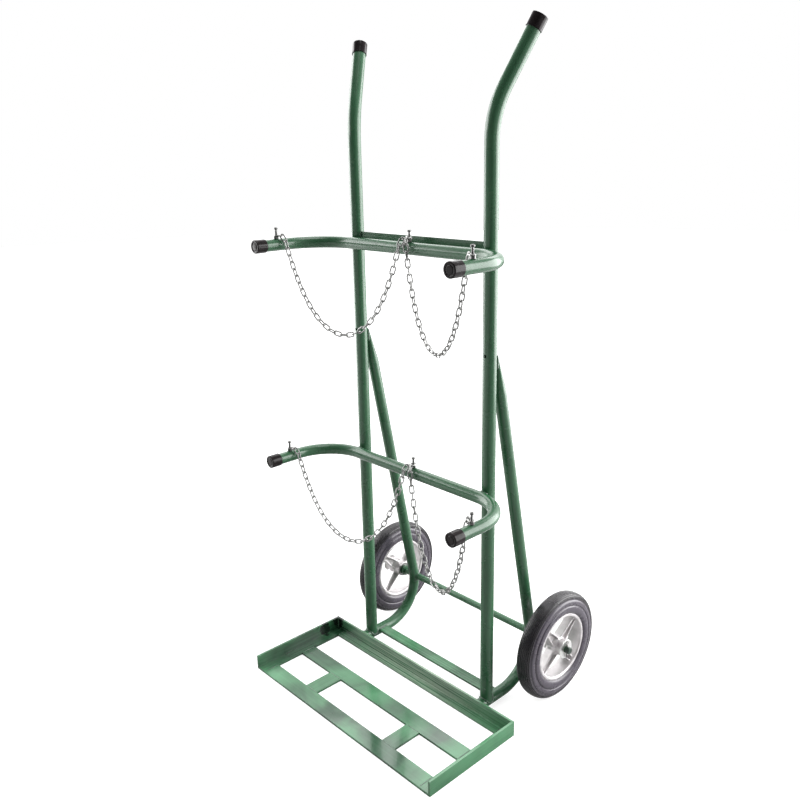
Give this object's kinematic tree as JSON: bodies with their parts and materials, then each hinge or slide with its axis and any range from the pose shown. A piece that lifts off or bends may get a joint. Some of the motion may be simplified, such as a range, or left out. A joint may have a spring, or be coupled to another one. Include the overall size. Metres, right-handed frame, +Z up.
{
  "type": "gas bottle cart",
  "caption": "Two-wheeled hand cart for a pair of gas bottles: bent tube uprights with handles, two open hoops with safety chains, braces, axle and a low angle-iron tray.",
  "frame": {"origin": "on the floor under the middle of the whole cart", "axes": "+X across the cart to its right side seen from the tray, +Y from the tray towards the wheels, +Z up"},
  "size_m": [0.618, 0.566, 1.4441],
  "materials": {
    "green_paint": "gloss enamel",
    "black_cap": "satin moulded",
    "zinc_steel": "bright zinc plated",
    "tyre_rubber": "matte moulded rubber",
    "cast_aluminium": "as cast, turned rim",
    "bush_plastic": "moulded bearing plastic"
  },
  "bodies": {
    "frame": {"left_upright": "green_paint", "left_handle_cap": "black_cap", "left_brace": "green_paint", "tray_left_angle": "green_paint", "tray_left_cross_bar": "green_paint", "right_upright": "green_paint", "right_handle_cap": "black_cap", "right_brace": "green_paint", "tray_right_angle": "green_paint", "tray_right_cross_bar": "green_paint", "upper_hoop": "green_paint", "upper_left_hoop_cap": "black_cap", "upper_right_hoop_cap": "black_cap", "lower_hoop": "green_paint", "lower_left_hoop_cap": "black_cap", "lower_right_hoop_cap": "black_cap", "upper_cross_strip": "green_paint", "foot_cross_bar": "green_paint", "tray_back_angle": "green_paint", "tray_front_bar": "green_paint", "tray_middle_bar": "green_paint", "axle_rod": "green_paint", "axle_collars": "green_paint", "axle_split_pins": "green_paint", "inner_wheel_washers": "zinc_steel", "outer_wheel_washers": "zinc_steel", "chain_studs": "zinc_steel", "chain_stud_nuts": "zinc_steel", "chain_end_links": "zinc_steel"},
    "left_wheel": {"left_wheel_tyre": "tyre_rubber", "left_wheel_hub": "cast_aluminium", "left_wheel_bush": "bush_plastic"},
    "right_wheel": {"right_wheel_tyre": "tyre_rubber", "right_wheel_hub": "cast_aluminium", "right_wheel_bush": "bush_plastic"},
    "upper_left_chain_swing": {"upper_left_chain": "zinc_steel"},
    "upper_right_chain_swing": {"upper_right_chain": "zinc_steel"},
    "lower_left_chain_swing": {"lower_left_chain": "zinc_steel"},
    "lower_right_chain_swing": {"lower_right_chain": "zinc_steel"}
  },
  "joints": [
    {"name": "left_wheel_spin", "type": "hinge", "parent": "frame", "child": "left_wheel", "pos_m": [-0.268, 0.157, 0.126], "axis": [1, 0, 0], "continuous": true},
    {"name": "right_wheel_spin", "type": "hinge", "parent": "frame", "child": "right_wheel", "pos_m": [0.268, 0.157, 0.126], "axis": [1, 0, 0], "continuous": true},
    {"name": "upper_left_chain_hinge", "type": "hinge", "parent": "frame", "child": "upper_left_chain_swing", "pos_m": [-0.27002, -0.14486, 1.02714], "axis": [0.9372, 0.3487, 0], "range_deg": [-18, 7]},
    {"name": "upper_right_chain_hinge", "type": "hinge", "parent": "frame", "child": "upper_right_chain_swing", "pos_m": [0.27002, -0.14486, 1.02714], "axis": [-0.9372, 0.3487, 0.0112], "range_deg": [-6, 18]},
    {"name": "lower_left_chain_hinge", "type": "hinge", "parent": "frame", "child": "lower_left_chain_swing", "pos_m": [-0.27002, -0.14486, 0.53264], "axis": [0.9372, 0.3487, 0], "range_deg": [-18, 7]},
    {"name": "lower_right_chain_hinge", "type": "hinge", "parent": "frame", "child": "lower_right_chain_swing", "pos_m": [0.27002, -0.14486, 0.53264], "axis": [-0.9372, 0.3487, 0.0112], "range_deg": [-6, 18]}
  ]
}
